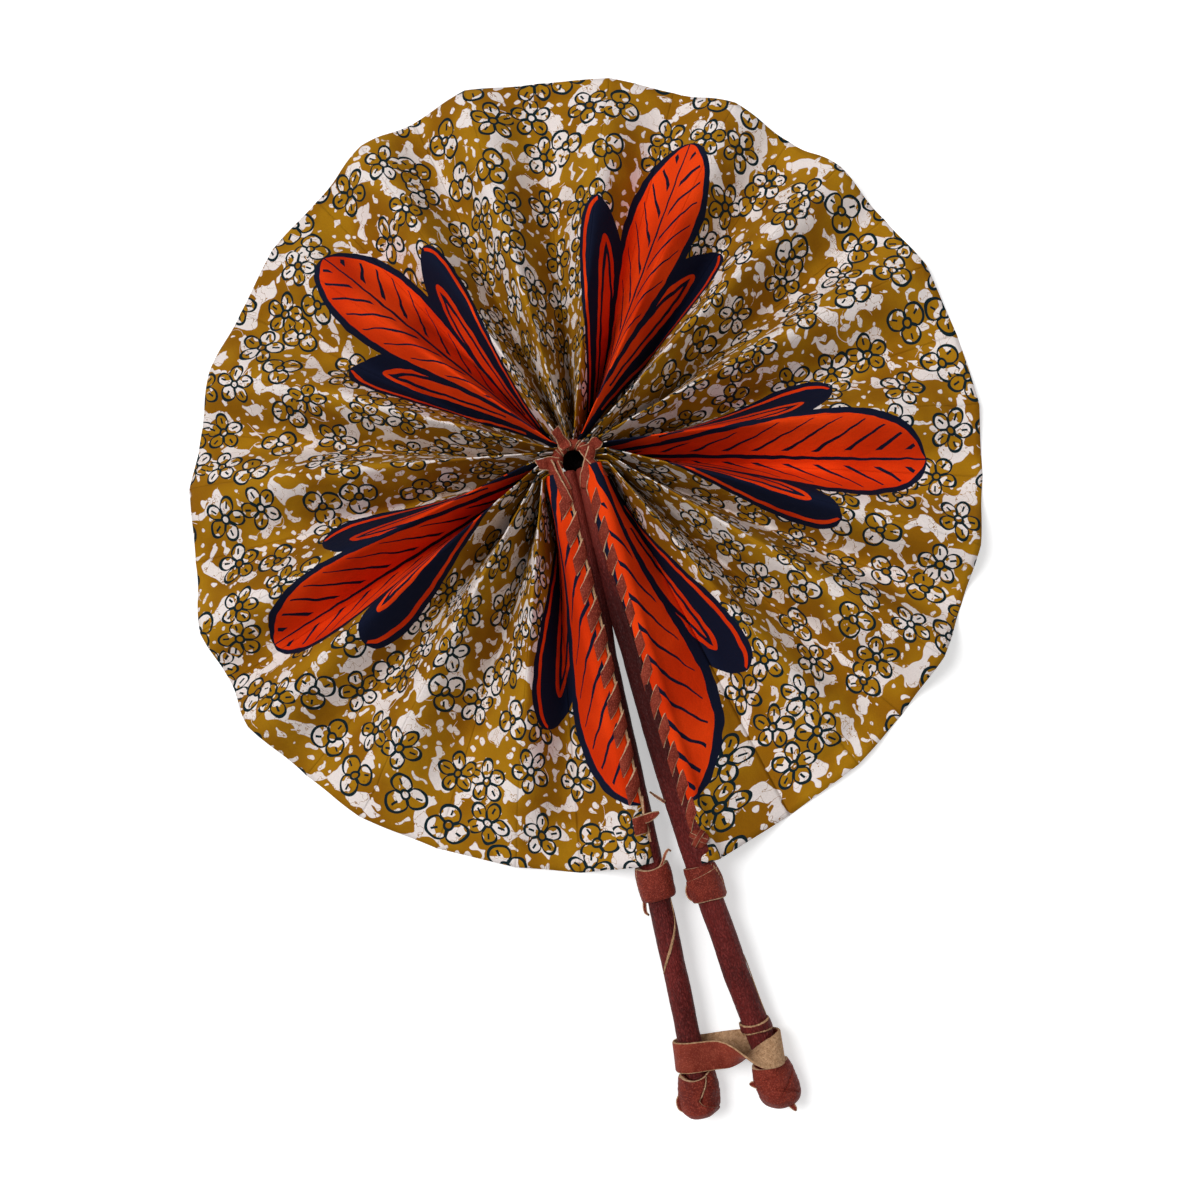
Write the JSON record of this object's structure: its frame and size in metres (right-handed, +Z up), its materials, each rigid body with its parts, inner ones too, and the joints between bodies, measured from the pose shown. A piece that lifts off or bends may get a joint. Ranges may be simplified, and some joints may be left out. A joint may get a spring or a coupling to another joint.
{
  "type": "cloth folding fan",
  "caption": "Round pleated cloth hand fan that folds between two leather-covered sticks, held open by a strap loop.",
  "frame": {"origin": "centre of the underside of the open fan's box, with the fan lying face up on a table", "axes": "+Y from the handle to the far rim of the leaf, +Z up out of its face, +X to the right stick"},
  "size_m": [0.3296, 0.4292, 0.0298],
  "materials": {
    "cloth": "printed cotton, mustard and off-white with navy lines and orange petals",
    "dark_leather": "dark red-brown sheepskin, satin",
    "lace_leather": "red-brown thong with tan cut edges",
    "knob_leather": "red-brown skin, folded and creased",
    "strap_leather": "red-brown strap, tan suede inside",
    "wood": "plain turned rod"
  },
  "bodies": {
    "right_stick": {"right_stick_core": "wood", "right_stick_sleeve": "dark_leather", "right_edge_lacing": "lace_leather", "right_lace_knot": "lace_leather", "right_rim_collar": "knob_leather", "right_end_knob": "knob_leather"},
    "strap": {"strap_loop": "strap_leather", "right_tie_wrap": "strap_leather"},
    "left_stick": {"left_stick_core": "wood", "left_stick_sleeve": "dark_leather", "left_edge_lacing": "lace_leather", "left_lace_tail": "lace_leather", "left_rim_collar": "knob_leather", "left_end_knob": "knob_leather", "leaf_panel_01": "cloth"},
    "crease_35": {"leaf_panel_36": "cloth"},
    "crease_34": {"leaf_panel_35": "cloth"},
    "crease_33": {"leaf_panel_34": "cloth"},
    "crease_32": {"leaf_panel_33": "cloth"},
    "crease_31": {"leaf_panel_32": "cloth"},
    "crease_30": {"leaf_panel_31": "cloth"},
    "crease_29": {"leaf_panel_30": "cloth"},
    "crease_28": {"leaf_panel_29": "cloth"},
    "crease_27": {"leaf_panel_28": "cloth"},
    "crease_26": {"leaf_panel_27": "cloth"},
    "crease_25": {"leaf_panel_26": "cloth"},
    "crease_24": {"leaf_panel_25": "cloth", "hub_tab_right": "lace_leather"},
    "crease_23": {"leaf_panel_24": "cloth"},
    "crease_22": {"leaf_panel_23": "cloth"},
    "crease_21": {"leaf_panel_22": "cloth"},
    "crease_20": {"leaf_panel_21": "cloth"},
    "crease_19": {"leaf_panel_20": "cloth"},
    "crease_18": {"leaf_panel_19": "cloth", "hub_thong": "lace_leather", "hub_tab_top": "lace_leather"},
    "crease_17": {"leaf_panel_18": "cloth"},
    "crease_16": {"leaf_panel_17": "cloth"},
    "crease_15": {"leaf_panel_16": "cloth"},
    "crease_14": {"leaf_panel_15": "cloth"},
    "crease_13": {"leaf_panel_14": "cloth"},
    "crease_12": {"leaf_panel_13": "cloth"},
    "crease_11": {"leaf_panel_12": "cloth"},
    "crease_10": {"leaf_panel_11": "cloth", "hub_tab_left": "lace_leather"},
    "crease_09": {"leaf_panel_10": "cloth"},
    "crease_08": {"leaf_panel_09": "cloth"},
    "crease_07": {"leaf_panel_08": "cloth"},
    "crease_06": {"leaf_panel_07": "cloth"},
    "crease_05": {"leaf_panel_06": "cloth"},
    "crease_04": {"leaf_panel_05": "cloth"},
    "crease_03": {"leaf_panel_04": "cloth"},
    "crease_02": {"leaf_panel_03": "cloth"},
    "crease_01": {"leaf_panel_02": "cloth"}
  },
  "joints": [
    {"name": "fold_01", "type": "hinge", "parent": "right_stick", "child": "crease_35", "pos_m": [0.00357, 0.07414, -0.00596], "axis": [0.4087, -0.0594, -0.9107], "range_deg": [0, 9.33], "deforming": ["leaf_panel_01", "leaf_panel_02", "leaf_panel_03", "leaf_panel_04", "leaf_panel_05", "leaf_panel_06", "leaf_panel_07", "leaf_panel_08", "leaf_panel_09", "leaf_panel_10", "leaf_panel_11", "leaf_panel_12", "leaf_panel_13", "leaf_panel_14", "leaf_panel_15", "leaf_panel_16", "leaf_panel_17", "leaf_panel_18", "leaf_panel_19", "leaf_panel_20", "leaf_panel_21", "leaf_panel_22", "leaf_panel_23", "leaf_panel_24", "leaf_panel_25", "leaf_panel_26", "leaf_panel_27", "leaf_panel_28", "leaf_panel_29", "leaf_panel_30", "leaf_panel_31", "leaf_panel_32", "leaf_panel_33", "leaf_panel_34", "leaf_panel_35", "leaf_panel_36", "strap_loop", "hub_thong", "hub_tab_left", "hub_tab_top", "hub_tab_right"]},
    {"name": "fold_02", "type": "hinge", "parent": "crease_35", "child": "crease_34", "pos_m": [0.01022, 0.04516, 0.03114], "axis": [-0.6545, -0.1417, -0.7427], "range_deg": [0, 13.32]},
    {"name": "fold_03", "type": "hinge", "parent": "crease_34", "child": "crease_33", "pos_m": [0.02372, 0.04988, 0.00971], "axis": [0.5762, 0.3404, -0.743], "range_deg": [0, 13.35]},
    {"name": "fold_04", "type": "hinge", "parent": "crease_33", "child": "crease_32", "pos_m": [0.01106, 0.04587, 0.03134], "axis": [-0.5779, -0.3414, -0.7413], "range_deg": [0, 13.44]},
    {"name": "fold_05", "type": "hinge", "parent": "crease_32", "child": "crease_31", "pos_m": [0.02261, 0.05539, 0.00995], "axis": [0.4634, 0.4787, -0.7457], "range_deg": [0, 13.49]},
    {"name": "fold_06", "type": "hinge", "parent": "crease_31", "child": "crease_30", "pos_m": [0.01156, 0.04767, 0.03126], "axis": [-0.4404, -0.509, -0.7396], "range_deg": [0, 13.53]},
    {"name": "fold_07", "type": "hinge", "parent": "crease_30", "child": "crease_29", "pos_m": [0.01943, 0.06064, 0.01022], "axis": [0.3022, 0.5939, -0.7457], "range_deg": [0, 13.59]},
    {"name": "fold_08", "type": "hinge", "parent": "crease_29", "child": "crease_28", "pos_m": [0.01118, 0.04958, 0.03134], "axis": [-0.2552, -0.6256, -0.7373], "range_deg": [0, 13.55]},
    {"name": "fold_09", "type": "hinge", "parent": "crease_28", "child": "crease_27", "pos_m": [0.01443, 0.06477, 0.01052], "axis": [0.0966, 0.6609, -0.7443], "range_deg": [0, 13.61]},
    {"name": "fold_10", "type": "hinge", "parent": "crease_27", "child": "crease_26", "pos_m": [0.00989, 0.05137, 0.03139], "axis": [-0.0235, -0.6764, -0.7362], "range_deg": [0, 13.5]},
    {"name": "fold_11", "type": "hinge", "parent": "crease_26", "child": "crease_25", "pos_m": [0.00762, 0.06706, 0.01084], "axis": [-0.1184, 0.6596, -0.7422], "range_deg": [0, 13.57]},
    {"name": "fold_12", "type": "hinge", "parent": "crease_25", "child": "crease_24", "pos_m": [0.008, 0.05276, 0.03142], "axis": [0.1936, -0.6526, -0.7325], "range_deg": [0, 13.41]},
    {"name": "fold_13", "type": "hinge", "parent": "crease_24", "child": "crease_23", "pos_m": [0.00067, 0.0673, 0.01134], "axis": [-0.3361, 0.5823, -0.7402], "range_deg": [0, 13.47]},
    {"name": "fold_14", "type": "hinge", "parent": "crease_23", "child": "crease_22", "pos_m": [0.00556, 0.05354, 0.03124], "axis": [0.4048, -0.5496, -0.7308], "range_deg": [0, 13.3]},
    {"name": "fold_15", "type": "hinge", "parent": "crease_22", "child": "crease_21", "pos_m": [-0.00638, 0.06514, 0.01194], "axis": [-0.5016, 0.4512, -0.7382], "range_deg": [0, 13.39]},
    {"name": "fold_16", "type": "hinge", "parent": "crease_21", "child": "crease_20", "pos_m": [0.00305, 0.05384, 0.03069], "axis": [0.5757, -0.3655, -0.7314], "range_deg": [0, 13.2]},
    {"name": "fold_17", "type": "hinge", "parent": "crease_20", "child": "crease_19", "pos_m": [-0.01221, 0.06058, 0.01249], "axis": [-0.6241, 0.2587, -0.7373], "range_deg": [0, 13.32]},
    {"name": "fold_18", "type": "hinge", "parent": "crease_19", "child": "crease_18", "pos_m": [0.00058, 0.05383, 0.02986], "axis": [0.6677, -0.1337, -0.7324], "range_deg": [0, 13.15]},
    {"name": "fold_19", "type": "hinge", "parent": "crease_18", "child": "crease_17", "pos_m": [-0.01588, 0.05494, 0.01304], "axis": [-0.6746, 0.0363, -0.7373], "range_deg": [0, 13.3]},
    {"name": "fold_20", "type": "hinge", "parent": "crease_17", "child": "crease_16", "pos_m": [-0.00181, 0.05361, 0.02873], "axis": [0.6646, 0.1331, -0.7353], "range_deg": [0, 13.17]},
    {"name": "fold_21", "type": "hinge", "parent": "crease_16", "child": "crease_15", "pos_m": [-0.017, 0.04886, 0.01349], "axis": [-0.6409, -0.2087, -0.7387], "range_deg": [0, 13.3]},
    {"name": "fold_22", "type": "hinge", "parent": "crease_15", "child": "crease_14", "pos_m": [-0.00416, 0.05335, 0.0278], "axis": [0.5704, 0.3623, -0.7372], "range_deg": [0, 13.25]},
    {"name": "fold_23", "type": "hinge", "parent": "crease_14", "child": "crease_13", "pos_m": [-0.01639, 0.04386, 0.014], "axis": [-0.5198, -0.426, -0.7405], "range_deg": [0, 13.36]},
    {"name": "fold_24", "type": "hinge", "parent": "crease_13", "child": "crease_12", "pos_m": [-0.00647, 0.05282, 0.02719], "axis": [0.4143, 0.5317, -0.7387], "range_deg": [0, 13.36]},
    {"name": "fold_25", "type": "hinge", "parent": "crease_12", "child": "crease_11", "pos_m": [-0.01469, 0.04, 0.01447], "axis": [-0.3264, -0.5853, -0.7422], "range_deg": [0, 13.45]},
    {"name": "fold_26", "type": "hinge", "parent": "crease_11", "child": "crease_10", "pos_m": [-0.00858, 0.05184, 0.02677], "axis": [0.2083, 0.6388, -0.7406], "range_deg": [0, 13.47]},
    {"name": "fold_27", "type": "hinge", "parent": "crease_10", "child": "crease_09", "pos_m": [-0.01189, 0.03708, 0.01468], "axis": [-0.1231, -0.6569, -0.7438], "range_deg": [0, 13.57]},
    {"name": "fold_28", "type": "hinge", "parent": "crease_09", "child": "crease_08", "pos_m": [-0.0102, 0.05037, 0.02652], "axis": [-0.0235, 0.6695, -0.7425], "range_deg": [0, 13.54]},
    {"name": "fold_29", "type": "hinge", "parent": "crease_08", "child": "crease_07", "pos_m": [-0.00818, 0.0355, 0.01487], "axis": [0.1295, -0.6546, -0.7448], "range_deg": [0, 13.6]},
    {"name": "fold_30", "type": "hinge", "parent": "crease_07", "child": "crease_06", "pos_m": [-0.01115, 0.04849, 0.02632], "axis": [-0.2528, 0.6186, -0.7439], "range_deg": [0, 13.54]},
    {"name": "fold_31", "type": "hinge", "parent": "crease_06", "child": "crease_05", "pos_m": [-0.00399, 0.03534, 0.01501], "axis": [0.3474, -0.5691, -0.7453], "range_deg": [0, 13.58]},
    {"name": "fold_32", "type": "hinge", "parent": "crease_05", "child": "crease_04", "pos_m": [-0.0112, 0.04651, 0.0262], "axis": [-0.4375, 0.5053, -0.7438], "range_deg": [0, 13.47]},
    {"name": "fold_33", "type": "hinge", "parent": "crease_04", "child": "crease_03", "pos_m": [0.00001, 0.03638, 0.01521], "axis": [0.5099, -0.4294, -0.7454], "range_deg": [0, 13.53]},
    {"name": "fold_34", "type": "hinge", "parent": "crease_03", "child": "crease_02", "pos_m": [-0.01035, 0.04475, 0.02597], "axis": [-0.5842, 0.3234, -0.7444], "range_deg": [0, 13.35]},
    {"name": "fold_35", "type": "hinge", "parent": "crease_02", "child": "crease_01", "pos_m": [0.00219, 0.03259, 0.0147], "axis": [0.6855, -0.0151, -0.7279], "range_deg": [0, 13.4]},
    {"name": "fold_36", "type": "hinge", "parent": "crease_01", "child": "left_stick", "pos_m": [0.00656, 0.07283, 0.01673], "axis": [-0.3112, -0.1039, -0.9446], "range_deg": [0, 9.38]},
    {"name": "strap_slide", "type": "slide", "parent": "right_stick", "child": "strap", "axis": [-0.0974, 0.9935, 0.0591], "range_m": [0, 0.034]}
  ],
  "couplings": [
    {"joint": "fold_02", "follows": "fold_01", "ratio": 1.4276},
    {"joint": "fold_03", "follows": "fold_01", "ratio": 1.4314},
    {"joint": "fold_04", "follows": "fold_01", "ratio": 1.4412},
    {"joint": "fold_05", "follows": "fold_01", "ratio": 1.4464},
    {"joint": "fold_06", "follows": "fold_01", "ratio": 1.4504},
    {"joint": "fold_07", "follows": "fold_01", "ratio": 1.4572},
    {"joint": "fold_08", "follows": "fold_01", "ratio": 1.453},
    {"joint": "fold_09", "follows": "fold_01", "ratio": 1.4593},
    {"joint": "fold_10", "follows": "fold_01", "ratio": 1.4474},
    {"joint": "fold_11", "follows": "fold_01", "ratio": 1.455},
    {"joint": "fold_12", "follows": "fold_01", "ratio": 1.438},
    {"joint": "fold_13", "follows": "fold_01", "ratio": 1.4436},
    {"joint": "fold_14", "follows": "fold_01", "ratio": 1.4259},
    {"joint": "fold_15", "follows": "fold_01", "ratio": 1.4359},
    {"joint": "fold_16", "follows": "fold_01", "ratio": 1.415},
    {"joint": "fold_17", "follows": "fold_01", "ratio": 1.4279},
    {"joint": "fold_18", "follows": "fold_01", "ratio": 1.4098},
    {"joint": "fold_19", "follows": "fold_01", "ratio": 1.4257},
    {"joint": "fold_20", "follows": "fold_01", "ratio": 1.412},
    {"joint": "fold_21", "follows": "fold_01", "ratio": 1.4263},
    {"joint": "fold_22", "follows": "fold_01", "ratio": 1.4209},
    {"joint": "fold_23", "follows": "fold_01", "ratio": 1.4327},
    {"joint": "fold_24", "follows": "fold_01", "ratio": 1.4325},
    {"joint": "fold_25", "follows": "fold_01", "ratio": 1.442},
    {"joint": "fold_26", "follows": "fold_01", "ratio": 1.4439},
    {"joint": "fold_27", "follows": "fold_01", "ratio": 1.4553},
    {"joint": "fold_28", "follows": "fold_01", "ratio": 1.4514},
    {"joint": "fold_29", "follows": "fold_01", "ratio": 1.4581},
    {"joint": "fold_30", "follows": "fold_01", "ratio": 1.452},
    {"joint": "fold_31", "follows": "fold_01", "ratio": 1.4563},
    {"joint": "fold_32", "follows": "fold_01", "ratio": 1.4444},
    {"joint": "fold_33", "follows": "fold_01", "ratio": 1.4501},
    {"joint": "fold_34", "follows": "fold_01", "ratio": 1.4316},
    {"joint": "fold_35", "follows": "fold_01", "ratio": 1.4363},
    {"joint": "fold_36", "follows": "fold_01", "ratio": 1.0061}
  ]
}
